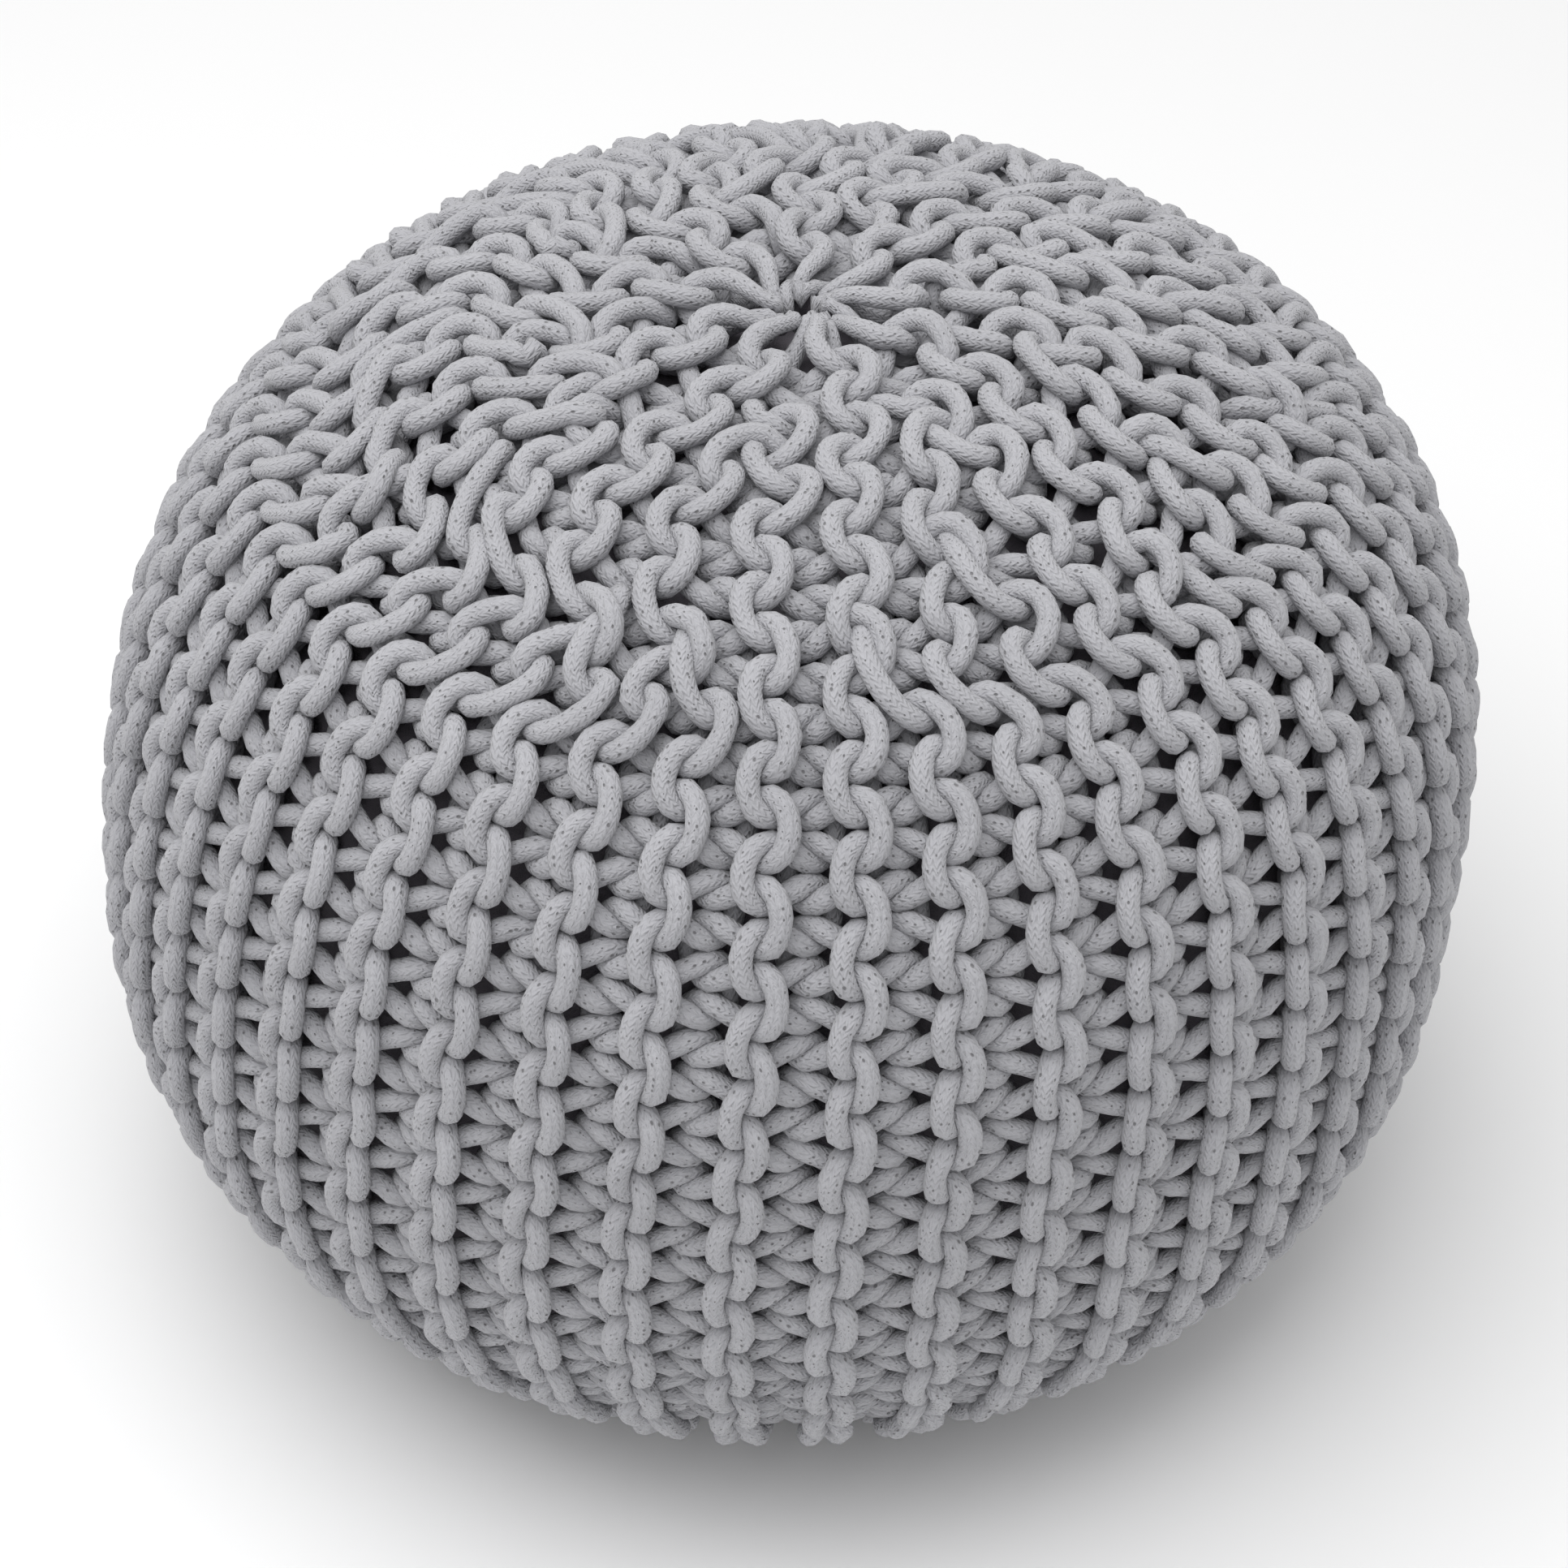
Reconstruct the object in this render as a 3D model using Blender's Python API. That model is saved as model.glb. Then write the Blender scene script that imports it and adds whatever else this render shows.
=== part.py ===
"""Knitted pouf, about 50 cm across and 39 cm high, standing on its flattened base.

A thick cotton cord is knitted in garter stitch from crown to base, so its ridges run
down the sides like the lines on a melon. The cover is drawn up to a small gather hole
at the crown, and a filled cloth bag inside it holds it out.
Metres, +Z up, the middle of the base at the origin, the front at -Y.
"""

import math

import bmesh
import bpy

# Overall form: two rounded halves that meet at the widest level, pressed flat below.
BODY_RADIUS = 0.250
CROWN_RISE = 0.237
CROWN_FULLNESS = 2.8
BASE_DROP = 0.150
BASE_CURVE_DEPTH = 0.174
BASE_FULLNESS = 2.3
BASE_EDGE_SOFTNESS = 0.008
LEAN = 0.035
SHOULDER_LEAN = 0.045
FOOT_SHIFT = 0.004

# Drawn-up crown.
GATHER_RADIUS = 0.006
CROWN_DIP = 0.001
CROWN_DIP_REACH = 0.030

# The knitted cover, its ridges and the bag inside it.
COVER_THICKNESS = 0.020
RIDGE_HEIGHT = 0.008
RIDGE_RUN_IN = 0.030
BAG_CLEARANCE = 0.001

# One repeat of the knitting: where each ridge starts, from the crown along the surface.
# The rows between the full ones are knitted short, which gives the cover its dome.
REPEATS = 9
RIDGES = (
    {"row": "full", "starts": 0.012},
    {"row": "short", "starts": 0.135},
    {"row": "half", "starts": 0.050},
    {"row": "short", "starts": 0.128},
    {"row": "quarter", "starts": 0.075},
)
COLUMNS = 2 * len(RIDGES) * REPEATS
BAG_COLUMNS = len(RIDGES) * REPEATS
OUTER_STEPS_ABOVE = 15
OUTER_STEPS_BELOW = 9
INNER_STEPS_ABOVE = 9
INNER_STEPS_BELOW = 6
LAST_RING_TURN = 1.90

COTTON_GREY = (0.50, 0.50, 0.51, 1.0)
BAG_GREY = (0.33, 0.32, 0.34, 1.0)


def clear_scene():
    for obj in list(bpy.data.objects):
        bpy.data.objects.remove(obj, do_unlink=True)


def fabric_material(name, colour, roughness):
    material = bpy.data.materials.new(name)
    material.use_nodes = True
    shader = material.node_tree.nodes["Principled BSDF"]
    shader.inputs["Base Color"].default_value = colour
    shader.inputs["Roughness"].default_value = roughness
    shader.inputs["Metallic"].default_value = 0.0
    return material


def rest_on_floor(height):
    """Presses a height flat at the floor, with a soft turn just above it."""
    if height >= BASE_EDGE_SOFTNESS:
        return height
    if height <= -BASE_EDGE_SOFTNESS:
        return 0.0
    return (height + BASE_EDGE_SOFTNESS) ** 2 / (4.0 * BASE_EDGE_SOFTNESS)


def profile_point(turn, inset):
    """Radius and height at a turn from 0 at the crown, through 1 at the widest level, to 2 at the base.

    The inset moves the point inwards, for the inside of the cover and for the bag.
    """
    radius_limit = BODY_RADIUS - inset
    if turn <= 1.0:
        angle = 0.5 * math.pi * turn
        radius = radius_limit * math.sin(angle) ** (2.0 / CROWN_FULLNESS)
        rise = (CROWN_RISE - inset) * math.cos(angle) ** (2.0 / CROWN_FULLNESS)
    else:
        angle = 0.5 * math.pi * (turn - 1.0)
        radius = radius_limit * max(0.0, math.cos(angle)) ** (2.0 / BASE_FULLNESS)
        rise = -(BASE_CURVE_DEPTH - inset) * math.sin(angle) ** (2.0 / BASE_FULLNESS)
    dip = CROWN_DIP * math.exp(-((radius / CROWN_DIP_REACH) ** 2)) if turn < 1.0 else 0.0
    height = inset + rest_on_floor(BASE_DROP + rise - dip - inset)
    return radius, height


def place(radius, height, azimuth):
    """The world point, with the slight lean that a hand-stuffed pouf has."""
    above = height - BASE_DROP
    if above > 0.0:
        shift = above * (LEAN + SHOULDER_LEAN * (radius / BODY_RADIUS) ** 2)
    else:
        shift = FOOT_SHIFT * (above / BASE_DROP) ** 2
    return (radius * math.sin(azimuth) + shift, -radius * math.cos(azimuth), height)


def ridge_rise(column, travelled, height):
    """How far a knitted ridge stands out here. Odd columns are the furrows between the ridges."""
    if column % 2:
        return 0.0
    ridge = RIDGES[(column // 2) % len(RIDGES)]
    run_in = (travelled - ridge["starts"]) / RIDGE_RUN_IN
    off_the_floor = height / (2.0 * RIDGE_RUN_IN)
    return RIDGE_HEIGHT * max(0.0, min(1.0, run_in, off_the_floor))


def turns(first, steps_above, steps_below, last):
    """Even turns from the gather hole over the widest level to the last ring of the base."""
    above = [first + (1.0 - first) * step / steps_above for step in range(steps_above + 1)]
    below = [1.0 + (last - 1.0) * step / steps_below for step in range(1, steps_below + 1)]
    return above + below


def turn_at_radius(target, inset):
    """The turn near the crown at which the profile has this radius."""
    ratio = target / (BODY_RADIUS - inset)
    return math.asin(ratio ** (CROWN_FULLNESS / 2.0)) / (0.5 * math.pi)


def add_ring(mesh, radius, height, columns, travelled=None):
    ring = []
    for column in range(columns):
        azimuth = 2.0 * math.pi * column / columns
        furrow = 0.0
        if travelled is not None:
            furrow = RIDGE_HEIGHT - ridge_rise(column, travelled, height)
            furrow *= min(1.0, radius / CROWN_DIP_REACH) * min(1.0, height / RIDGE_RUN_IN)
        ring.append(mesh.verts.new(place(max(radius - furrow, 0.5 * radius), height, azimuth)))
    return ring


def join_rings(mesh, rings, inwards=False):
    for upper, lower in zip(rings, rings[1:]):
        for column in range(len(upper)):
            following = (column + 1) % len(upper)
            corners = [upper[column], lower[column], lower[following], upper[following]]
            mesh.faces.new(corners[::-1] if inwards else corners)


def close_with_fan(mesh, ring, centre_height, facing_up):
    centre = mesh.verts.new(place(0.0, centre_height, 0.0))
    for column in range(len(ring)):
        following = (column + 1) % len(ring)
        corners = [centre, ring[column], ring[following]]
        mesh.faces.new(corners if facing_up else corners[::-1])


def finish_object(name, mesh, material):
    bmesh.ops.recalc_face_normals(mesh, faces=mesh.faces)
    data = bpy.data.meshes.new(name)
    mesh.to_mesh(data)
    mesh.free()
    for face in data.polygons:
        face.use_smooth = True
    data.materials.append(material)
    obj = bpy.data.objects.new(name, data)
    bpy.context.scene.collection.objects.link(obj)
    return obj


def make_knit_cover(material):
    """The knitted shell: ribbed outside, smooth inside, open at the gather hole."""
    mesh = bmesh.new()
    outer_rings = []
    travelled = 0.0
    before = None
    start = turn_at_radius(GATHER_RADIUS, 0.0)
    for turn in turns(start, OUTER_STEPS_ABOVE, OUTER_STEPS_BELOW, LAST_RING_TURN):
        radius, height = profile_point(turn, 0.0)
        if before:
            travelled += math.dist(before, (radius, height))
        before = (radius, height)
        outer_rings.append(add_ring(mesh, radius, height, COLUMNS, travelled))
    inner_rings = []
    start = turn_at_radius(GATHER_RADIUS, COVER_THICKNESS)
    for turn in turns(start, INNER_STEPS_ABOVE, INNER_STEPS_BELOW, LAST_RING_TURN):
        radius, height = profile_point(turn, COVER_THICKNESS)
        inner_rings.append(add_ring(mesh, radius, height, COLUMNS))
    join_rings(mesh, outer_rings)
    join_rings(mesh, inner_rings, inwards=True)
    join_rings(mesh, [inner_rings[0], outer_rings[0]])
    close_with_fan(mesh, outer_rings[-1], 0.0, facing_up=False)
    close_with_fan(mesh, inner_rings[-1], COVER_THICKNESS, facing_up=True)
    return finish_object("knit_cover", mesh, material)


def make_inner_bag(material):
    """The filled cloth bag, a little smaller than the space in the cover."""
    mesh = bmesh.new()
    inset = COVER_THICKNESS + BAG_CLEARANCE
    rings = []
    start = turn_at_radius(GATHER_RADIUS, inset)
    for turn in turns(start, INNER_STEPS_ABOVE, INNER_STEPS_BELOW, LAST_RING_TURN):
        radius, height = profile_point(turn, inset)
        rings.append(add_ring(mesh, radius, height, BAG_COLUMNS))
    join_rings(mesh, rings)
    crown_height = profile_point(0.0, inset)[1]
    close_with_fan(mesh, rings[0], crown_height, facing_up=True)
    close_with_fan(mesh, rings[-1], inset, facing_up=False)
    return finish_object("inner_bag", mesh, material)


clear_scene()
make_knit_cover(fabric_material("cotton_cord", COTTON_GREY, 0.95))
make_inner_bag(fabric_material("bag_cloth", BAG_GREY, 0.9))
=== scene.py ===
"""Knitted pouf: a filled cloth bag inside a cover knitted by hand from thick tubular cotton cord.

The cover is one long cord, knitted sideways in garter stitch: each row runs from the crown
over the widest level towards the middle of the base. Four ridges in five start short of the
crown, which gives the flat knitting its dome. Metres, +Z up, the front at -Y.
"""

import math

import bpy
import numpy as np
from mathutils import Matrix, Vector


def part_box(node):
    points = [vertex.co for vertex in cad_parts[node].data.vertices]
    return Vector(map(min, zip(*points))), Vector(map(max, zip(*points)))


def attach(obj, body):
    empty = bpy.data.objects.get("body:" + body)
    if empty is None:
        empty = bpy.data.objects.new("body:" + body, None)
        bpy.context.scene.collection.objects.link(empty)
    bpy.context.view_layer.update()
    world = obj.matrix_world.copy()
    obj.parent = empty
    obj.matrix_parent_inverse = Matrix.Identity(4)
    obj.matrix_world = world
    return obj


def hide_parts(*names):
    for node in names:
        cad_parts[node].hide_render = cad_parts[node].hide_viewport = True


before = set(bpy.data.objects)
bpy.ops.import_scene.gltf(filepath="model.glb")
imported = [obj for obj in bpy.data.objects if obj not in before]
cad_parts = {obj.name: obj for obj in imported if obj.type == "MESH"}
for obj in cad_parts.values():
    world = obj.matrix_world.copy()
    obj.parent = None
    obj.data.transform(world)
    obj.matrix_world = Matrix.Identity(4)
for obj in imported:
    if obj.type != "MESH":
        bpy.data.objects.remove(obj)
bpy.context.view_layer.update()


# ---------------------------------------------------------------- camera
# A long lens a little over a metre above the floor, looking down on the front of the pouf from
# about a metre and a half away, held level.

CAMERA_DISTANCE = 1.515
CAMERA_ELEVATION = math.radians(40.2)
CAMERA_LENS = 92.65
LOOKED_AT = Vector((0.0, 0.0, 0.150))
FRAMED_RIGHT = 0.002
FRAMED_UP = 0.016
SENSOR_WIDTH = 36.0
FARTHEST_SEEN = 50.0

away = Vector((0.0, -math.cos(CAMERA_ELEVATION), math.sin(CAMERA_ELEVATION)))
sideways = Vector((1.0, 0.0, 0.0))
upwards = away.cross(sideways)
camera = bpy.data.objects.new("camera", bpy.data.cameras.new("camera"))
camera.data.lens = CAMERA_LENS
camera.data.sensor_width = SENSOR_WIDTH
camera.data.clip_end = FARTHEST_SEEN
camera.location = LOOKED_AT + away * CAMERA_DISTANCE
aim = LOOKED_AT + sideways * FRAMED_RIGHT + upwards * FRAMED_UP
camera.rotation_euler = (aim - camera.location).to_track_quat("-Z", "Y").to_euler()
bpy.context.scene.collection.objects.link(camera)
bpy.context.scene.camera = camera


# ---------------------------------------------------------------- floor and light
# A seamless sheet of white paper on a studio floor, a wide soft lamp a little to the left,
# and even light from white walls all round.

FLOOR_SIZE = 12.0
FLOOR_WHITE = (0.93, 0.93, 0.93, 1.0)
ROOM_LIGHT = 0.66
LAMP_POWER = 33.0
LAMP_SIZE = 2.0
LAMP_PLACE = Vector((-0.35, -0.35, 2.1))


def socket_named(node, name):
    """The input of a node that has this name and can be used."""
    return next(s for s in node.inputs if s.name == name and s.enabled)


def plain_material(name, colour, roughness):
    material = bpy.data.materials.new(name)
    material.use_nodes = True
    shader = material.node_tree.nodes["Principled BSDF"]
    shader.inputs["Base Color"].default_value = colour
    shader.inputs["Roughness"].default_value = roughness
    return material


def link_mesh(name, points, faces, edges=()):
    """A new object at the origin, with its place in its mesh."""
    data = bpy.data.meshes.new(name)
    data.from_pydata([tuple(point) for point in points], list(edges), list(faces))
    data.update()
    made = bpy.data.objects.new(name, data)
    bpy.context.scene.collection.objects.link(made)
    return made


half_floor = 0.5 * FLOOR_SIZE
corner_sides = ((-1, -1), (1, -1), (1, 1), (-1, 1))
floor_corners = [(x * half_floor, y * half_floor, 0.0) for x, y in corner_sides]
floor = link_mesh("floor", floor_corners, [(0, 1, 2, 3)])
floor.data.materials.append(plain_material("floor_paper", FLOOR_WHITE, 0.9))

room = bpy.data.worlds.new("white room")
room.use_nodes = True
room.node_tree.nodes["Background"].inputs["Color"].default_value = (1.0, 1.0, 1.0, 1.0)
room.node_tree.nodes["Background"].inputs["Strength"].default_value = ROOM_LIGHT
bpy.context.scene.world = room
bpy.context.scene.view_settings.view_transform = "Standard"

lamp = bpy.data.objects.new("soft lamp", bpy.data.lights.new("soft lamp", "AREA"))
lamp.data.energy = LAMP_POWER
lamp.data.size = LAMP_SIZE
lamp.location = LAMP_PLACE
lamp.rotation_euler = (LOOKED_AT - LAMP_PLACE).to_track_quat("-Z", "Y").to_euler()
bpy.context.scene.collection.objects.link(lamp)


# ---------------------------------------------------------------- inner bag
# A round bag of plain grey-purple cotton cloth, filled until it is tight. It holds the cover
# out and only shows as a dull colour deep in the small holes between the stitches.

cover_low, cover_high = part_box("knit_cover")
bag_low, bag_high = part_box("inner_bag")
POUF_RADIUS = -cover_low.y
WIDEST_LEVEL = 0.150
CROWN_LEVEL = 0.387
CROWN_RISE = CROWN_LEVEL - WIDEST_LEVEL
CROWN_FULLNESS = 2.8
CROWN_DIP = 0.001
CROWN_DIP_REACH = 0.030
BASE_CURVE_DEPTH = 0.174
BASE_FULLNESS = 2.3
BASE_EDGE_SOFTNESS = 0.008
LEAN = 0.035
SHOULDER_LEAN = 0.045
FOOT_SHIFT = 0.004
BAG_INSET = bag_low.z - cover_low.z
BAG_COLUMNS = 96
BAG_RINGS = 64
BAG_VOXEL = 0.0065
BAG_FIRST_TURN = 0.04
BAG_LAST_TURN = 1.93
BAG_PRESSURE = 4.0
BAG_SWELL_LIMIT = 0.0015
FILLING_FRAMES = 20
BAG_GREY = (0.150, 0.138, 0.158, 1.0)
BAG_THREAD = 0.0011
BAG_CLOUDS = 14.0
BAG_SHADES = (0.82, 1.18)


def rest_on_floor(height):
    """Presses a height flat at the floor, with a soft turn just above it."""
    edge = BASE_EDGE_SOFTNESS
    turned = (height + edge) ** 2 / (4.0 * edge)
    return np.where(height >= edge, height, np.where(height <= -edge, 0.0, turned))


def profile(turn, inset):
    """Radius and height at a turn from 0 at the crown, through 1 at the widest level, to 2 below."""
    above = turn <= 1.0
    angle = 0.5 * np.pi * np.where(above, turn, turn - 1.0)
    across = np.maximum(np.cos(angle), 0.0)
    along = np.maximum(np.sin(angle), 0.0)
    radius = (POUF_RADIUS - inset) * np.where(
        above, along ** (2.0 / CROWN_FULLNESS), across ** (2.0 / BASE_FULLNESS)
    )
    up = (CROWN_RISE - inset) * across ** (2.0 / CROWN_FULLNESS)
    down = (BASE_CURVE_DEPTH - inset) * along ** (2.0 / BASE_FULLNESS)
    dip = np.where(above, CROWN_DIP * np.exp(-((radius / CROWN_DIP_REACH) ** 2)), 0.0)
    height = inset + rest_on_floor(WIDEST_LEVEL + np.where(above, up, -down) - dip - inset)
    return radius, height


def lean(radius, height):
    """How far the stuffed form leans to +X at this radius and height."""
    above = height - WIDEST_LEVEL
    shoulder = above * (LEAN + SHOULDER_LEAN * (radius / POUF_RADIUS) ** 2)
    return np.where(above > 0.0, shoulder, FOOT_SHIFT * (above / WIDEST_LEVEL) ** 2)


def stand(radius, height, azimuth):
    """World points at this radius, height and azimuth, an azimuth of 0 facing the front."""
    x = radius * np.sin(azimuth) + lean(radius, height)
    return np.stack([x, -radius * np.cos(azimuth), height + 0.0 * azimuth], axis=-1)


def bag_form():
    """The bag as it is sewn: rings from the crown to the base, closed by a fan at each end."""
    turn = np.linspace(BAG_FIRST_TURN, BAG_LAST_TURN, BAG_RINGS)
    radius, height = profile(turn, BAG_INSET + BAG_SWELL_LIMIT)
    azimuth = 2.0 * np.pi * np.arange(BAG_COLUMNS) / BAG_COLUMNS
    rings = stand(radius[:, None], height[:, None], azimuth[None, :])
    ends = stand(np.zeros(2), np.array([height[0], height[-1]]), np.zeros(2))
    points = np.concatenate([rings.reshape(-1, 3), ends])
    faces = []
    crown = BAG_RINGS * BAG_COLUMNS
    for column in range(BAG_COLUMNS):
        following = (column + 1) % BAG_COLUMNS
        for ring in range(BAG_RINGS - 1):
            upper = ring * BAG_COLUMNS
            lower = upper + BAG_COLUMNS
            faces.append((upper + column, lower + column, lower + following, upper + following))
        faces.append((crown, column, following))
        faces.append((crown + 1, lower + following, lower + column))
    return link_mesh("inner_bag_cloth", points, faces)


def evaluated_mesh(made):
    """A plain mesh of an object as its modifiers leave it."""
    graph = bpy.context.evaluated_depsgraph_get()
    return bpy.data.meshes.new_from_object(made.evaluated_get(graph), depsgraph=graph)


def mesh_points(data):
    points = np.empty(3 * len(data.vertices), np.float32)
    data.vertices.foreach_get("co", points)
    return points.reshape(-1, 3).astype(float)


def swap_mesh(made, data):
    """Gives an object a finished mesh in place of its modifiers."""
    made.modifiers.clear()
    old = made.data
    made.data = data
    data.name = made.name
    bpy.data.meshes.remove(old)


def fill_bag(bag):
    """Blows the cloth up against itself, as stuffing does, and caps how far it may go."""
    remesh = bag.modifiers.new("even cloth", "REMESH")
    remesh.mode = "VOXEL"
    remesh.voxel_size = BAG_VOXEL
    swap_mesh(bag, evaluated_mesh(bag))
    sewn = mesh_points(bag.data)
    cloth = bag.modifiers.new("filling", "CLOTH")
    cloth.settings.quality = 4
    cloth.settings.use_pressure = True
    cloth.settings.uniform_pressure_force = BAG_PRESSURE
    cloth.settings.effector_weights.gravity = 0.0
    for step in range(1, FILLING_FRAMES + 1):
        bpy.context.scene.frame_set(step)
    filled = evaluated_mesh(bag)
    moved = mesh_points(filled) - sewn
    length = np.linalg.norm(moved, axis=1, keepdims=True)
    moved *= np.minimum(1.0, BAG_SWELL_LIMIT / np.maximum(length, 1e-9))
    filled.vertices.foreach_set("co", (sewn + moved).astype(np.float32).ravel())
    filled.update()
    swap_mesh(bag, filled)
    bpy.context.scene.frame_set(1)


def shader_kit(material):
    """Functions that add a node, a number node and a link to a material."""
    tree = material.node_tree

    def add(kind, **settings):
        node = tree.nodes.new(kind)
        for key, value in settings.items():
            setattr(node, key, value)
        return node

    def connect(value, socket):
        if isinstance(value, bpy.types.NodeSocket):
            tree.links.new(value, socket)
        else:
            socket.default_value = value

    def reckon(operation, *values):
        node = add("ShaderNodeMath", operation=operation)
        for value, socket in zip(values, node.inputs):
            connect(value, socket)
        return node.outputs[0]

    return add, connect, reckon


def bag_cloth_material():
    """Plain-woven cotton: threads round the bag and up it, in a dull grey with a purple cast."""
    material = plain_material("bag_cloth", BAG_GREY, 0.9)
    add, connect, reckon = shader_kit(material)
    shader = material.node_tree.nodes["Principled BSDF"]
    place = add("ShaderNodeTexCoord")
    parts = add("ShaderNodeSeparateXYZ")
    connect(place.outputs["Object"], parts.inputs[0])
    rate = 2.0 * math.pi / BAG_THREAD
    warp = reckon("SINE", reckon("MULTIPLY", parts.outputs["X"], rate))
    weft = reckon("SINE", reckon("MULTIPLY", parts.outputs["Z"], rate))
    fill = reckon("SINE", reckon("MULTIPLY", parts.outputs["Y"], rate))
    weave = reckon("MULTIPLY", reckon("MULTIPLY", warp, weft), fill)
    cloud = add("ShaderNodeTexNoise")
    connect(place.outputs["Object"], cloud.inputs["Vector"])
    cloud.inputs["Scale"].default_value = BAG_CLOUDS
    shade = add("ShaderNodeMix", data_type="RGBA")
    connect(cloud.outputs["Fac"], shade.inputs["Factor"])
    for socket, factor in zip("AB", BAG_SHADES):
        shade.inputs[socket].default_value = tuple(factor * part for part in BAG_GREY[:3]) + (1.0,)
    connect(shade.outputs["Result"], shader.inputs["Base Color"])
    bump = add("ShaderNodeBump")
    bump.inputs["Strength"].default_value = 0.5
    bump.inputs["Distance"].default_value = 0.0002
    connect(weave, bump.inputs["Height"])
    connect(bump.outputs["Normal"], shader.inputs["Normal"])
    connect(reckon("MULTIPLY_ADD", weave, 0.05, 0.9), shader.inputs["Roughness"])
    shader.inputs["Sheen Weight"].default_value = 0.15
    return material


bag = bag_form()
fill_bag(bag)
bag.data.shade_smooth()
bag.data.materials.append(bag_cloth_material())
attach(bag, "root")
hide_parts("inner_bag")


# ---------------------------------------------------------------- knitted cover: rows and stitches
# Garter stitch in a soft cotton cord a little thicker than a pencil. A row is a line of loops
# drawn through the loops of the row before, and each pair of rows makes one raised ridge.

CORD = 0.0079
MIDDLE_INSET = 0.0120
REPEATS = 9
RIDGE_STARTS = (
    {"row": "full", "starts": 0.010},
    {"row": "short", "starts": 0.148},
    {"row": "half", "starts": 0.050},
    {"row": "short", "starts": 0.138},
    {"row": "quarter", "starts": 0.075},
)
ROWS_A_REPEAT = 2 * len(RIDGE_STARTS)
ROWS = ROWS_A_REPEAT * REPEATS
START_SPREAD = 0.010
ROW_FADE = 0.030
FADE_LEAD = 0.25 * ROW_FADE
FIRST_STITCH = 0.029
LAST_STITCH = 0.046
STITCH_PITCH = 0.0255
CROWN_STRETCH = 0.004
CROWN_STRETCH_REACH = 0.20
STITCH_STEPS = 20
LOOP_OVERLAP = 0.0125
LOOP_WAIST = 0.16
LOOP_RELIEF = (0.0053, 0.0024, -0.0012)
UNEVEN_HAND = 0.050
MOST_UNEVEN = 2.2 * UNEVEN_HAND
SEED = 7

chance = np.random.default_rng(SEED)


def even_profile(inset, steps=1500):
    """Radius and height at even distances down the surface, from the crown to the base's middle."""
    radius, height = profile(np.linspace(0.0, 2.0, 4000), inset)
    run = np.concatenate([[0.0], np.cumsum(np.hypot(np.diff(radius), np.diff(height)))])
    travel = np.linspace(0.0, run[-1], steps)
    return travel, np.interp(travel, run, radius), np.interp(travel, run, height)


def smoothed(values, reach=25):
    window = np.hanning(2 * reach + 1)
    return np.convolve(np.pad(values, reach, mode="edge"), window / window.sum(), "valid")


TRAVEL, RADIUS_AT, HEIGHT_AT = even_profile(MIDDLE_INSET)
LENGTH = TRAVEL[-1]
outward_radius = smoothed(-np.gradient(HEIGHT_AT, TRAVEL))
outward_height = smoothed(np.gradient(RADIUS_AT, TRAVEL))
outward_length = np.hypot(outward_radius, outward_height)
OUTWARD_RADIUS = outward_radius / outward_length
OUTWARD_HEIGHT = outward_height / outward_length


def radius_at(travel):
    return np.interp(travel, TRAVEL, RADIUS_AT)


def on_cover(travel, azimuth, lift):
    """World points on the middle of the knitting, lifted outwards by so much."""
    radius = radius_at(travel) + lift * np.interp(travel, TRAVEL, OUTWARD_RADIUS)
    height = np.interp(travel, TRAVEL, HEIGHT_AT) + lift * np.interp(travel, TRAVEL, OUTWARD_HEIGHT)
    return stand(radius, height, azimuth)


def stitch_edges():
    """Distances from the crown at which one stitch ends and the next begins."""
    edges = [FIRST_STITCH]
    while edges[-1] < LENGTH - LAST_STITCH:
        stretch = math.exp(-((edges[-1] / CROWN_STRETCH_REACH) ** 2))
        edges.append(edges[-1] + STITCH_PITCH + CROWN_STRETCH * stretch)
    edges = np.array(edges)
    whole = (LENGTH - LAST_STITCH - FIRST_STITCH) / (edges[-1] - FIRST_STITCH)
    return FIRST_STITCH + (edges - FIRST_STITCH) * whole


EDGES = stitch_edges()
STITCHES = len(EDGES) - 1


def row_starts():
    """Each row's first and last stitch, and whether it reaches the middle of crown and base."""
    crown = np.zeros(ROWS, int)
    base = np.zeros(ROWS, int)
    to_crown = np.zeros(ROWS, bool)
    to_base = np.zeros(ROWS, bool)
    for ridge in range(ROWS // 2):
        start = RIDGE_STARTS[ridge % len(RIDGE_STARTS)]
        full = start["row"] == "full"
        spread = (0.0, 0.0) if full else chance.uniform(-START_SPREAD, START_SPREAD, 2)
        first = np.searchsorted(EDGES, start["starts"] + spread[0])
        last = np.searchsorted(EDGES, LENGTH - start["starts"] - spread[1]) - 1
        pair = [2 * ridge, 2 * ridge + 1]
        crown[pair] = 0 if full else first
        to_crown[pair] = full
        pair = [2 * ridge + 1, (2 * ridge + 2) % ROWS]
        base[pair] = STITCHES if full else last
        to_base[pair] = full
    return crown, base, to_crown, to_base


FIRST_OF_ROW, END_OF_ROW, TO_CROWN, TO_BASE = row_starts()


def presence(row, travel):
    """How much room a row takes at this distance from the crown, from none to its full share."""

    def grows(distance, reaches):
        share = np.clip((distance + FADE_LEAD) / ROW_FADE, 0.0, 1.0)
        return np.ones_like(share) if reaches else share * share * (3.0 - 2.0 * share)

    at_crown = grows(travel - EDGES[FIRST_OF_ROW[row]], TO_CROWN[row])
    at_base = grows(EDGES[END_OF_ROW[row]] - travel, TO_BASE[row])
    return at_crown * at_base


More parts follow.
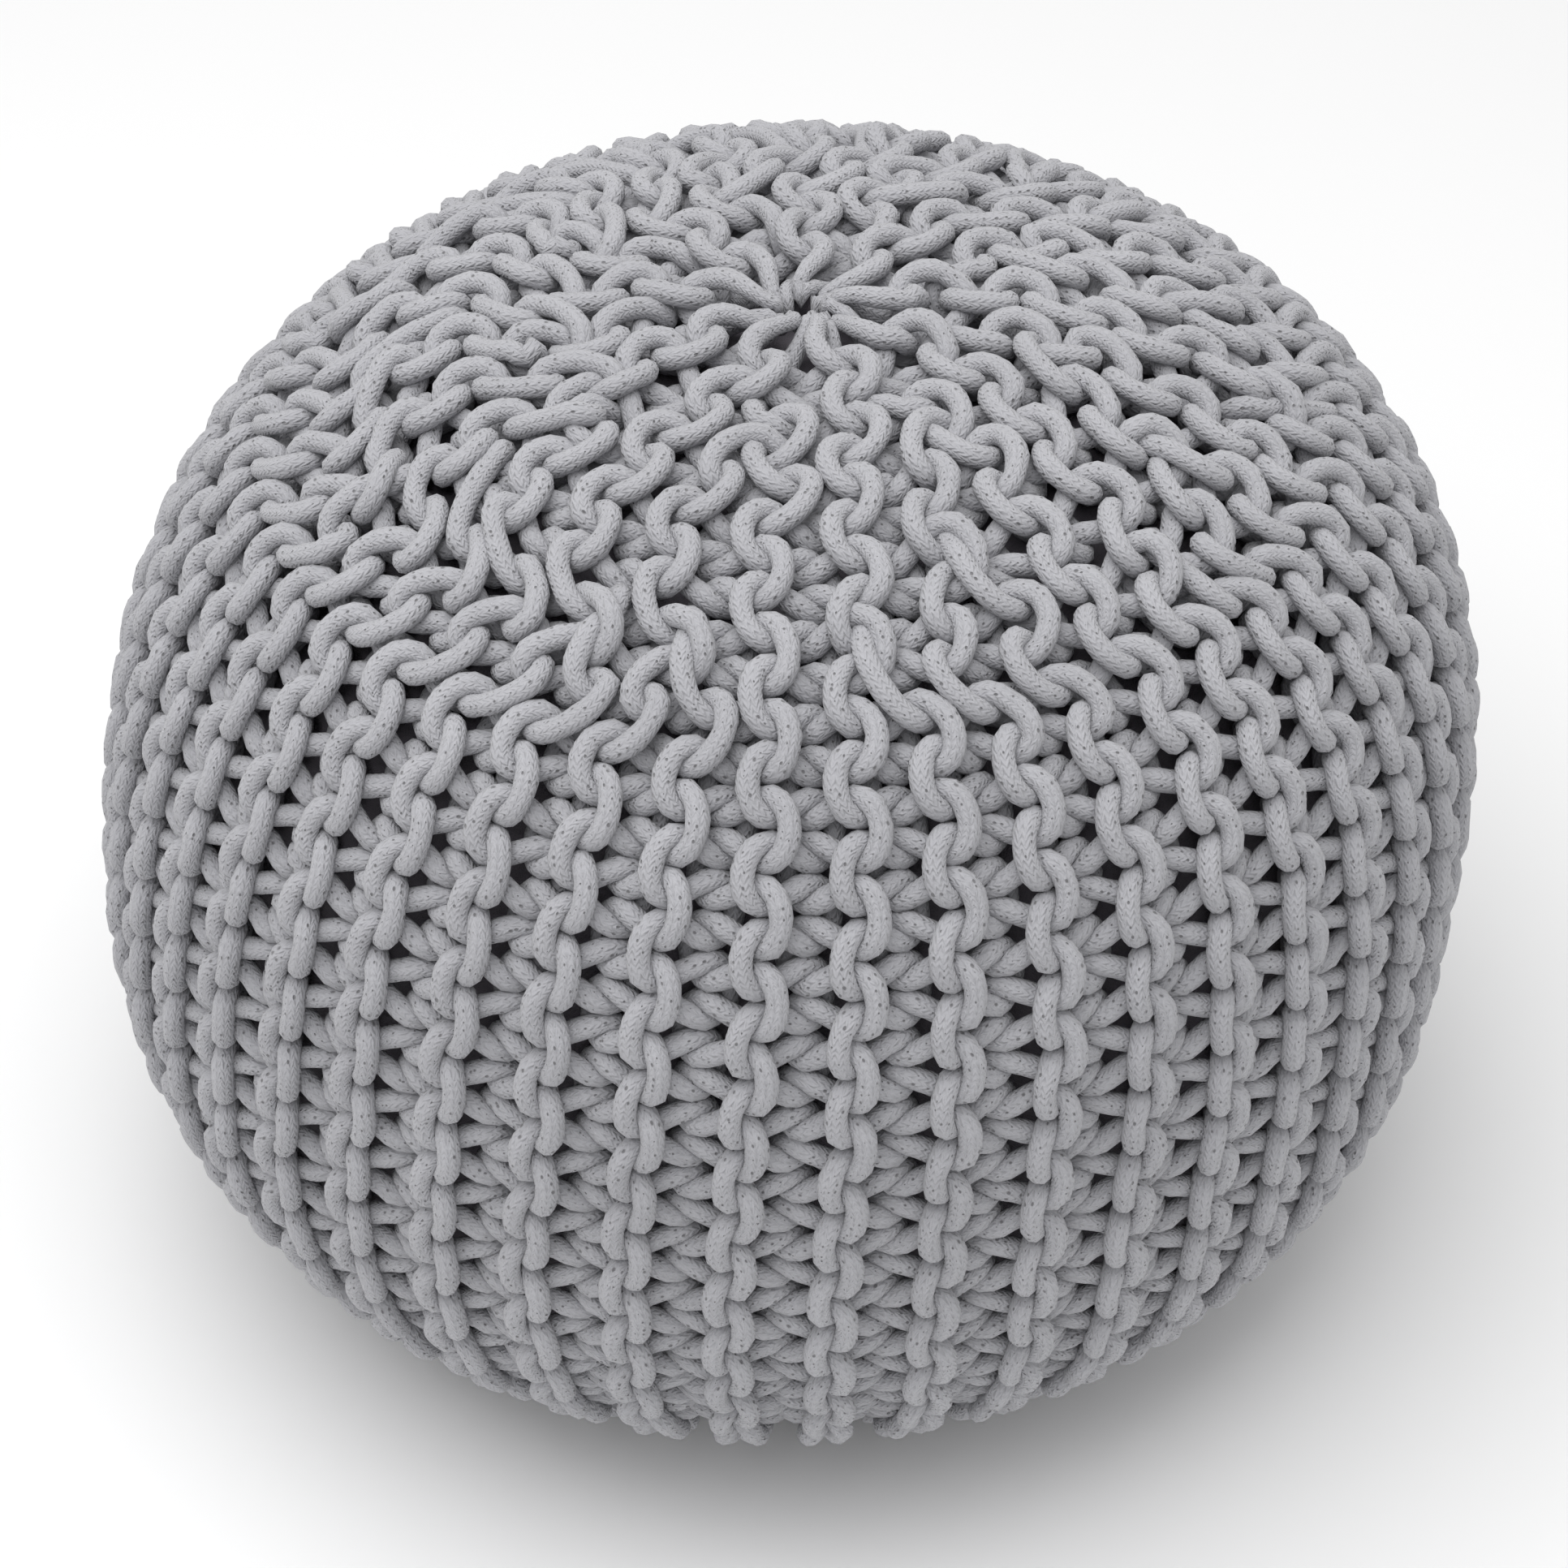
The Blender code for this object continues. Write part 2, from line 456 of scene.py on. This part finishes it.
STATION = np.linspace(0.0, LENGTH, 600)
share = np.stack([presence(row, STATION) for row in range(ROWS)])
ROWS_ABREAST = share.sum(axis=0)
ROW_AZIMUTH = 2.0 * np.pi * (np.cumsum(share, axis=0) - 0.5 * share) / ROWS_ABREAST

hand = chance.normal(0.0, UNEVEN_HAND, (ROWS, STITCHES, 3)).clip(-MOST_UNEVEN, MOST_UNEVEN)


def row_of_loops(row):
    """The cord's way along one row, from crown to base: travel, azimuth and lift.

    A loop is wider than its neck, so that it holds the loops of the rows beside it, and it
    passes to the front and to the back of the knitting three times on its way.
    """
    phase = 2.0 * np.pi * np.arange(STITCH_STEPS) / STITCH_STEPS
    front = -1.0 if row % 2 == 0 else 1.0
    loops = []
    for stitch in range(FIRST_OF_ROW[row], END_OF_ROW[row]):
        size, waist, lift_share = 1.0 + hand[row, stitch]
        pitch = EDGES[stitch + 1] - EDGES[stitch]
        travel = EDGES[stitch] + pitch * phase / (2.0 * np.pi)
        travel = travel + LOOP_WAIST * waist * pitch * np.sin(2.0 * phase)
        radius = radius_at(travel)
        apart = 2.0 * np.pi * radius / np.interp(travel, STATION, ROWS_ABREAST)
        reach = 0.5 * (apart + LOOP_OVERLAP) * size
        azimuth = np.interp(travel, STATION, ROW_AZIMUTH[row])
        azimuth = azimuth - reach * np.cos(phase) / np.maximum(radius, 0.01)
        waves = [part * np.cos(order * phase) for part, order in zip(LOOP_RELIEF, (1, 3, 5))]
        loops.append(np.stack([travel, azimuth, front * lift_share * sum(waves)], axis=-1))
    return np.concatenate(loops)


# ---------------------------------------------------------------- knitted cover: one long cord
# The rows are one cord that turns at the crown and again at the base. The full rows run into
# the gather at the crown, where they are drawn together and dive into the middle.

GATHER_REACH = 0.0070
GATHER_LIFT = 0.0100
GATHER_DIVE = 0.007
DEEPEST_REACH = 0.7 * GATHER_REACH
GATHER_STEPS = 10
SPOKE_TUCK = 0.006
TURN_STEPS = 9
QUARTER_TURN_RISE = 0.010
SHORT_TURN_RISE = 0.030
LOW_TURN_FROM = 0.11
TURN_TUCK = -0.003
BASE_TURN_RISE = 0.010
BASE_HOLE = 0.012


def gathered_turn(end, start, rows, tuck):
    """From one full row up into the gather, and out again to the next.

    Every other spoke is tucked a little lower, so that they lie over one another.
    """
    share = np.linspace(0.0, 1.0, GATHER_STEPS + 2)[1:-1]
    spokes = []
    for point, row, sink in ((end, rows[0], 0.0), (start, rows[1], tuck)):
        travel = point[0] + (GATHER_REACH - point[0]) * share
        azimuth = point[1] + (ROW_AZIMUTH[row][0] - point[1]) * share
        lift = point[2] * (1.0 - share) + (GATHER_LIFT - sink) * np.sin(0.5 * np.pi * share)
        spokes.append(np.stack([travel, azimuth, lift - GATHER_DIVE * share**8], axis=-1))
    between = 0.5 * (ROW_AZIMUTH[rows[0]][0] + ROW_AZIMUTH[rows[1]][0])
    deepest = np.array([[DEEPEST_REACH, between, -GATHER_DIVE]])
    return np.concatenate([spokes[0], deepest, spokes[1][::-1]])


def base_gather_turn(end, start, rows):
    """From one full row to the middle of the base, and out again to the next."""
    share = np.linspace(0.0, 1.0, GATHER_STEPS + 2)[1:-1]
    spokes = []
    for point, row in ((end, rows[0]), (start, rows[1])):
        travel = point[0] + (LENGTH - BASE_HOLE - point[0]) * share
        azimuth = point[1] + (ROW_AZIMUTH[row][-1] - point[1]) * share
        spokes.append(np.stack([travel, azimuth, point[2] * (1.0 - share)], axis=-1))
    return np.concatenate([spokes[0], spokes[1][::-1]])


def plain_turn(end, start, rise, lift):
    """A short row turns back on itself with a small bow of cord."""
    share = np.linspace(0.0, 1.0, TURN_STEPS + 2)[1:-1, None]
    bow = np.sin(np.pi * share) * np.array([[rise, 0.0, lift]])
    return end + (start - end) * share + bow


def whole_cord():
    """The cord from its first stitch to its last, and where each repeat of the knitting ends."""
    rows = [row_of_loops(row) for row in range(ROWS)]
    rows = [points[::-1] if row % 2 == 0 else points for row, points in enumerate(rows)]
    parts = []
    cuts = [0]
    for row in range(ROWS):
        parts.append(rows[row])
        following = (row + 1) % ROWS
        end = rows[row][-1]
        start = rows[following][0]
        if row % 2 == 0 and TO_CROWN[row]:
            tuck = SPOKE_TUCK if (row // ROWS_A_REPEAT) % 2 else 0.0
            parts.append(gathered_turn(end, start, (row, following), tuck))
        elif row % 2 == 0:
            rise = QUARTER_TURN_RISE if end[0] < LOW_TURN_FROM else SHORT_TURN_RISE
            parts.append(plain_turn(end, start, -rise, TURN_TUCK))
        elif row < ROWS - 1 and TO_BASE[row]:
            parts.append(base_gather_turn(end, start, (row, following)))
        elif row < ROWS - 1:
            parts.append(plain_turn(end, start, BASE_TURN_RISE, 0.0))
        if row % ROWS_A_REPEAT == ROWS_A_REPEAT - 1:
            cuts.append(sum(len(part) for part in parts))
    return np.concatenate(parts), cuts


# ---------------------------------------------------------------- knitted cover: drawn tight
# Knitting holds its shape because the cord presses on itself. The drawn path is let settle:
# the cord keeps its length, resists bending, and is pushed off itself, the bag and the floor.

SETTLE_STEPS = 120
DRAWN_IN = 1.00
CROWN_SLACK = 0.12
CROWN_SLACK_REACH = 0.30
LONGEST_LINK = 0.006
BENDING = 0.035
SOFT_CONTACT = 0.88
CONTACT_REACH = 0.0125
CONTACT_PUSH = 0.25
NEW_PAIRS_EVERY = 8
BAG_ROOM = 0.95
FLOOR_ROOM = 1.06
LINKS_APART = 6
FIELD_STEP = 0.0015
FIELD_RADIUS = 0.275
FIELD_LOWEST = -0.010
FIELD_HIGHEST = 0.405
GATHER_TAPER = 0.026
GATHER_THINNEST = 0.50


def near_pairs(points, reach):
    """All pairs of cord points closer than reach, leaving out close neighbours on the cord."""
    cell = np.floor(points / reach).astype(np.int64)
    cell -= cell.min(axis=0)
    size = cell.max(axis=0) + 3
    key = ((cell[:, 0] + 1) * size[1] + cell[:, 1] + 1) * size[2] + cell[:, 2] + 1
    order = np.argsort(key, kind="stable")
    cells, start, count = np.unique(key[order], return_index=True, return_counts=True)

    def all_of(start_a, count_a, start_b, count_b):
        number = count_a * count_b
        block = np.repeat(np.arange(len(number)), number)
        within = np.arange(number.sum()) - np.repeat(np.cumsum(number) - number, number)
        one = order[start_a[block] + within // count_b[block]]
        other = order[start_b[block] + within % count_b[block]]
        return one, other

    ones, others = all_of(start, count, start, count)
    kept = ones < others
    found = [(ones[kept], others[kept])]
    steps = (-1, 0, 1)
    half_of_them = [(x, y, z) for x in steps for y in steps for z in steps if (x, y, z) > (0, 0, 0)]
    for x, y, z in half_of_them:
        beside = (x * size[1] + y) * size[2] + z
        place = np.minimum(np.searchsorted(cells, cells + beside), len(cells) - 1)
        here = np.nonzero(cells[place] == cells + beside)[0]
        there = place[here]
        found.append(all_of(start[here], count[here], start[there], count[there]))
    ones = np.concatenate([pair[0] for pair in found])
    others = np.concatenate([pair[1] for pair in found])
    near = ((points[ones] - points[others]) ** 2).sum(axis=1) < reach * reach
    near &= np.abs(ones - others) > LINKS_APART
    return ones[near], others[near]


def distance_from_bag():
    """Tables of the distance outside the bag over radius and height, and of its two slopes."""
    _, radius, height = even_profile(BAG_INSET)
    radius, height = radius[::3], height[::3]
    radii = np.arange(0.0, FIELD_RADIUS, FIELD_STEP)
    heights = np.arange(FIELD_LOWEST, FIELD_HIGHEST, FIELD_STEP)
    across, up = np.meshgrid(radii, heights, indexing="ij")
    distance = np.full(across.shape, 1e9)
    for near in range(0, len(radius), 50):
        gap_across = across[..., None] - radius[near : near + 50]
        gap_up = up[..., None] - height[near : near + 50]
        distance = np.minimum(distance, np.hypot(gap_across, gap_up).min(axis=-1))
    widest = int(np.argmax(radius))
    top = np.interp(across, radius[: widest + 1], height[: widest + 1])
    bottom = np.interp(across, radius[widest:][::-1], height[widest:][::-1])
    inside = (across < radius[widest]) & (up < top) & (up > bottom)
    distance = np.where(inside, -distance, distance)
    slope_across, slope_up = np.gradient(distance, FIELD_STEP)
    return distance, slope_across, slope_up


def read_tables(tables, radius, height):
    """The tables' values at these radii and heights."""
    across = np.clip(radius / FIELD_STEP, 0.0, tables[0].shape[0] - 1.001)
    up = np.clip((height - FIELD_LOWEST) / FIELD_STEP, 0.0, tables[0].shape[1] - 1.001)
    i, j = across.astype(int), up.astype(int)
    u, v = across - i, up - j
    values = []
    for table in tables:
        low = table[i, j] * (1.0 - u) + table[i + 1, j] * u
        high = table[i, j + 1] * (1.0 - u) + table[i + 1, j + 1] * u
        values.append(low * (1.0 - v) + high * v)
    return values


def settle(points, rest, half_cord, steps):
    """Lets the cord find its place, a little at a time."""
    tables = distance_from_bag()
    number = len(points)
    for step in range(steps):
        if step % NEW_PAIRS_EVERY == 0:
            ones, others = near_pairs(points, CONTACT_REACH)
            room = (half_cord[ones] + half_cord[others]) * SOFT_CONTACT
        for stride in (1, 2):
            pull = 0.5 * (points[2 * stride :] + points[: -2 * stride]) - points[stride:-stride]
            points[stride:-stride] += BENDING * pull
            points[2 * stride :] -= 0.5 * BENDING * pull
            points[: -2 * stride] -= 0.5 * BENDING * pull
        for first in (0, 1, 0, 1):
            links = (number - first) // 2
            here = slice(first, first + 2 * links, 2)
            there = slice(first + 1, first + 1 + 2 * links, 2)
            gap = points[there] - points[here]
            length = np.sqrt((gap * gap).sum(axis=1))
            gap *= (0.5 * (length - rest[here][:links]) / length)[:, None]
            points[here] += gap
            points[there] -= gap
        gap = points[ones] - points[others]
        length = np.sqrt((gap * gap).sum(axis=1)) + 1e-9
        touching = room > length
        one, other = ones[touching], others[touching]
        push = (CONTACT_PUSH * (room[touching] / length[touching] - 1.0))[:, None] * gap[touching]
        for axis in range(3):
            points[:, axis] += np.bincount(one, push[:, axis], number)
            points[:, axis] -= np.bincount(other, push[:, axis], number)
        shift = lean(np.hypot(points[:, 0], points[:, 1]), points[:, 2])
        radius = np.hypot(points[:, 0] - shift, points[:, 1]) + 1e-9
        shift = lean(radius, points[:, 2])
        across = points[:, 0] - shift
        distance, slope_across, slope_up = read_tables(tables, radius, points[:, 2])
        out = np.maximum(BAG_ROOM * half_cord - distance, 0.0)
        out = out / (np.hypot(slope_across, slope_up) + 1e-9)
        points[:, 0] += out * slope_across * across / radius
        points[:, 1] += out * slope_across * points[:, 1] / radius
        points[:, 2] += out * slope_up
        points[:, 2] = np.maximum(points[:, 2], FLOOR_ROOM * half_cord)
    return points


drawn, repeat_ends = whole_cord()
cord_points = on_cover(drawn[:, 0], drawn[:, 1], drawn[:, 2])
to_full = np.clip(drawn[:, 0] / GATHER_TAPER, 0.0, 1.0)
cord_size = GATHER_THINNEST + (1.0 - GATHER_THINNEST) * to_full**1.5
link_length = np.linalg.norm(np.diff(cord_points, axis=0), axis=1)
near_crown = np.clip(1.0 - drawn[1:, 0] / CROWN_SLACK_REACH, 0.0, 1.0)
rest_length = (DRAWN_IN + CROWN_SLACK * near_crown) * np.minimum(link_length, LONGEST_LINK)
cord_points = settle(
    cord_points,
    np.append(rest_length, rest_length[-1]),
    0.5 * CORD * cord_size,
    SETTLE_STEPS,
)


# ---------------------------------------------------------------- knitted cover: the cotton cord
# The cord is a fine knitted tube over a soft core: small leaning stitches in columns along it, pin holes
# between them, and a little fluff. The grooves of the stitches, the seams between the columns and the
# pin holes are painted darker, as painted shade. It swells and narrows slightly along its length.

CORD_SIDES = 9
CORD_STEP = 0.0036
CORD_LUMPS = 0.28
CORD_COLUMNS = 9
CORD_STITCH = 0.0023
CORD_STITCH_SLANT = 1.7
LUMPS_A_METRE = 130.0
PIN_SPACING = 0.0030
FLUFF_RATE = 700.0
WANDER_RATE = 260.0
CLOUD_RATE = 22.0
COTTON_LIGHT = (0.455, 0.455, 0.480, 1.0)
COTTON_DARK = (0.330, 0.329, 0.350, 1.0)
# Painted shade: the dark colour put in the pin holes stands in for the shadow inside them.
PINHOLE_PAINTED_SHADE = (0.130, 0.127, 0.134, 1.0)


def cotton_material():
    """Matt cotton. The pattern reads the cord's own lengths: round it, and along it."""
    material = plain_material("cotton_cord", COTTON_LIGHT, 0.95)
    add, connect, reckon = shader_kit(material)
    shader = material.node_tree.nodes["Principled BSDF"]
    wrap = add("ShaderNodeAttribute", attribute_name="cord_wrap")
    parts = add("ShaderNodeSeparateXYZ")
    connect(wrap.outputs["Vector"], parts.inputs[0])
    round_it = reckon("ARCTAN2", parts.outputs["Y"], parts.outputs["X"])
    column = reckon("MULTIPLY_ADD", round_it, CORD_COLUMNS / (2.0 * math.pi), 100.0)
    in_column = reckon("FRACT", column)
    from_middle = reckon("ABSOLUTE", reckon("SUBTRACT", in_column, 0.5))
    place = add("ShaderNodeTexCoord")
    fluff = add("ShaderNodeTexNoise")
    connect(place.outputs["Object"], fluff.inputs["Vector"])
    fluff.inputs["Scale"].default_value = FLUFF_RATE
    fluff.inputs["Detail"].default_value = 3.0
    wander = add("ShaderNodeTexNoise")
    connect(place.outputs["Object"], wander.inputs["Vector"])
    wander.inputs["Scale"].default_value = WANDER_RATE
    wander.inputs["Detail"].default_value = 1.0
    along = reckon("MULTIPLY", parts.outputs["Z"], 1.0 / CORD_STITCH)
    slant = reckon("MULTIPLY_ADD", from_middle, CORD_STITCH_SLANT, along)
    leaning = reckon("ADD", slant, reckon("MULTIPLY", wander.outputs["Fac"], 1.2))
    stroke = reckon("SINE", reckon("MULTIPLY", leaning, 2.0 * math.pi))
    seam = reckon("POWER", reckon("MULTIPLY", from_middle, 2.0), 4.0)
    relief = reckon("SUBTRACT", reckon("MULTIPLY", stroke, 0.20), reckon("MULTIPLY", seam, 0.35))
    relief = reckon("ADD", relief, reckon("MULTIPLY", fluff.outputs["Fac"], 0.8))

    grid = add("ShaderNodeCombineXYZ")
    connect(column, grid.inputs["X"])
    connect(reckon("MULTIPLY", parts.outputs["Z"], 1.0 / PIN_SPACING), grid.inputs["Y"])
    pins = add("ShaderNodeTexVoronoi", voronoi_dimensions="2D")
    connect(grid.outputs[0], pins.inputs["Vector"])
    pins.inputs["Scale"].default_value = 1.0
    pins.inputs["Randomness"].default_value = 0.8
    pick = add("ShaderNodeSeparateColor")
    connect(pins.outputs["Color"], pick.inputs[0])
    hole_size = reckon("MULTIPLY", reckon("POWER", pick.outputs[0], 2.5), 0.22)
    hole = add("ShaderNodeMapRange")
    from_pin = reckon("DIVIDE", pins.outputs["Distance"], reckon("ADD", hole_size, 0.02))
    connect(from_pin, hole.inputs["Value"])
    hole.inputs["From Min"].default_value = 0.45
    hole.inputs["From Max"].default_value = 1.0
    hole.inputs["To Min"].default_value = 0.85
    hole.inputs["To Max"].default_value = 0.0

    cloud = add("ShaderNodeTexNoise")
    connect(place.outputs["Object"], cloud.inputs["Vector"])
    cloud.inputs["Scale"].default_value = CLOUD_RATE
    cloud.inputs["Detail"].default_value = 4.0
    # The tone is random clouds and fluff, plus painted shade: darker in the low half of each leaning
    # stitch and along the seams between the cord's columns, where the bump sinks too.
    tone_and_painted_groove_shade = reckon("ADD", reckon("MULTIPLY", stroke, 0.07), reckon("MULTIPLY", cloud.outputs["Fac"], 0.8))
    tone_and_painted_groove_shade = reckon("ADD", tone_and_painted_groove_shade, reckon("MULTIPLY", fluff.outputs["Fac"], 0.45))
    tone_and_painted_groove_shade = reckon("SUBTRACT", tone_and_painted_groove_shade, reckon("MULTIPLY", seam, 0.12))
    cotton = add("ShaderNodeMix", data_type="RGBA")
    connect(tone_and_painted_groove_shade, cotton.inputs["Factor"])
    cotton.inputs["A"].default_value = COTTON_DARK
    cotton.inputs["B"].default_value = COTTON_LIGHT
    # Painted shade in the pin holes: the hole mask, which also dents the bump, darkens the colour
    # towards this dark grey.
    cotton_with_painted_pinhole_shade = add("ShaderNodeMix", data_type="RGBA")
    connect(hole.outputs[0], cotton_with_painted_pinhole_shade.inputs["Factor"])
    connect(cotton.outputs["Result"], cotton_with_painted_pinhole_shade.inputs["A"])
    cotton_with_painted_pinhole_shade.inputs["B"].default_value = PINHOLE_PAINTED_SHADE
    connect(cotton_with_painted_pinhole_shade.outputs["Result"], shader.inputs["Base Color"])

    bump = add("ShaderNodeBump")
    bump.inputs["Strength"].default_value = 0.9
    bump.inputs["Distance"].default_value = 0.0007
    connect(reckon("SUBTRACT", relief, hole.outputs[0]), bump.inputs["Height"])
    connect(bump.outputs["Normal"], shader.inputs["Normal"])
    connect(reckon("MULTIPLY_ADD", fluff.outputs["Fac"], 0.1, 0.88), shader.inputs["Roughness"])
    shader.inputs["Sheen Weight"].default_value = 0.25
    shader.inputs["Sheen Roughness"].default_value = 0.6
    shader.inputs["Specular IOR Level"].default_value = 0.25
    return material


def cord_tree():
    """Geometry nodes: a round cord along a path, with its measures kept for the pattern on it."""
    tree = bpy.data.node_groups.new("cotton cord along a path", "GeometryNodeTree")
    tree.interface.new_socket("Path", in_out="INPUT", socket_type="NodeSocketGeometry")
    for name, kind in (
        ("Cord diameter", "Float"),
        ("Step along the cord", "Float"),
        ("Sides", "Int"),
        ("Lumps", "Float"),
        ("Seed", "Int"),
        ("Cotton", "Material"),
    ):
        tree.interface.new_socket(name, in_out="INPUT", socket_type="NodeSocket" + kind)
    tree.interface.new_socket("Cord", in_out="OUTPUT", socket_type="NodeSocketGeometry")

    def add(kind, links=(), **settings):
        node = tree.nodes.new(kind)
        for key, value in settings.items():
            setattr(node, key, value)
        for name, value in links:
            socket = socket_named(node, name) if isinstance(name, str) else node.inputs[name]
            if isinstance(value, bpy.types.NodeSocket):
                tree.links.new(value, socket)
            else:
                socket.default_value = value
        return node

    def reckon(operation, first, second):
        node = add("ShaderNodeMath", [(0, first), (1, second)], operation=operation)
        return node.outputs[0]

    def captured(geometry, value):
        node = add("GeometryNodeCaptureAttribute", [("Geometry", geometry)])
        node.capture_items.new("FLOAT", "Value")
        tree.links.new(value, node.inputs["Value"])
        return node.outputs["Geometry"], node.outputs["Value"]

    given = add("NodeGroupInput").outputs
    curve = add("GeometryNodeMeshToCurve", [("Mesh", given["Path"])])
    soft = add("GeometryNodeCurveSplineType", [("Curve", curve.outputs[0])], spline_type="CATMULL_ROM")
    even = add(
        "GeometryNodeResampleCurve",
        [("Curve", soft.outputs[0]), ("Length", given["Step along the cord"])],
        mode="LENGTH",
    )
    way = add("GeometryNodeSplineParameter").outputs["Length"]
    line, along = captured(even.outputs[0], way)
    wander = add(
        "ShaderNodeTexNoise",
        [("W", reckon("ADD", reckon("MULTIPLY", along, LUMPS_A_METRE), given["Seed"])), ("Scale", 1.0)],
        noise_dimensions="1D",
    )
    swell = reckon("MULTIPLY", reckon("SUBTRACT", wander.outputs[0], 0.5), given["Lumps"])
    size = add("GeometryNodeInputNamedAttribute", [("Name", "cord_size")], data_type="FLOAT")
    half = reckon("MULTIPLY", given["Cord diameter"], 0.5)
    sized = reckon("MULTIPLY", half, size.outputs["Attribute"])
    thick = reckon("MULTIPLY", sized, reckon("ADD", swell, 1.0))
    ring = add("GeometryNodeCurvePrimitiveCircle", [("Resolution", given["Sides"]), ("Radius", 1.0)])
    turn = add("GeometryNodeSplineParameter").outputs["Factor"]
    outline, around = captured(ring.outputs["Curve"], turn)
    tube = add(
        "GeometryNodeCurveToMesh",
        [("Curve", line), ("Profile Curve", outline), ("Scale", thick), ("Fill Caps", True)],
    )
    angle = reckon("MULTIPLY", around, 2.0 * math.pi)
    cosine = add("ShaderNodeMath", [(0, angle)], operation="COSINE").outputs[0]
    sine = add("ShaderNodeMath", [(0, angle)], operation="SINE").outputs[0]
    measures = add("ShaderNodeCombineXYZ", [("X", cosine), ("Y", sine), ("Z", along)])
    stored = add(
        "GeometryNodeStoreNamedAttribute",
        [("Geometry", tube.outputs[0]), ("Name", "cord_wrap"), ("Value", measures.outputs[0])],
        data_type="FLOAT_VECTOR",
        domain="POINT",
    )
    smooth = add("GeometryNodeSetShadeSmooth", [("Geometry", stored.outputs[0])])
    real = add("GeometryNodeRealizeInstances", [("Geometry", smooth.outputs[0])])
    dressed = add(
        "GeometryNodeSetMaterial", [("Geometry", real.outputs[0]), ("Material", given["Cotton"])]
    )
    finished = add("NodeGroupOutput")
    tree.links.new(dressed.outputs[0], finished.inputs["Cord"])
    return tree


def knitted_piece(name, points, sizes, tree, settings):
    """One repeat of the knitting as a plain mesh of cord."""
    edges = [(near, near + 1) for near in range(len(points) - 1)]
    path = link_mesh(name + "_path", points, [], edges)
    size = path.data.attributes.new("cord_size", "FLOAT", "POINT")
    size.data.foreach_set("value", sizes.astype(np.float32))
    modifier = path.modifiers.new("cord", "NODES")
    identifiers = {s.name: s.identifier for s in tree.interface.items_tree if s.in_out == "INPUT"}
    modifier.node_group = tree
    for key, value in settings.items():
        modifier[identifiers[key]] = value
    data = evaluated_mesh(path)
    data.name = name
    old = path.data
    bpy.data.objects.remove(path)
    bpy.data.meshes.remove(old)
    piece = bpy.data.objects.new(name, data)
    bpy.context.scene.collection.objects.link(piece)
    return piece


cotton = cotton_material()
tree = cord_tree()
for repeat in range(REPEATS):
    begin = repeat_ends[repeat]
    end = repeat_ends[repeat + 1] + 1
    piece = knitted_piece(
        f"knitted_cord_{repeat + 1}",
        cord_points[begin:end],
        cord_size[begin:end],
        tree,
        {
            "Cord diameter": CORD,
            "Step along the cord": CORD_STEP,
            "Sides": CORD_SIDES,
            "Lumps": CORD_LUMPS,
            "Seed": 11 * repeat,
            "Cotton": cotton,
        },
    )
    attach(piece, "root")
    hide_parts("knit_cover")
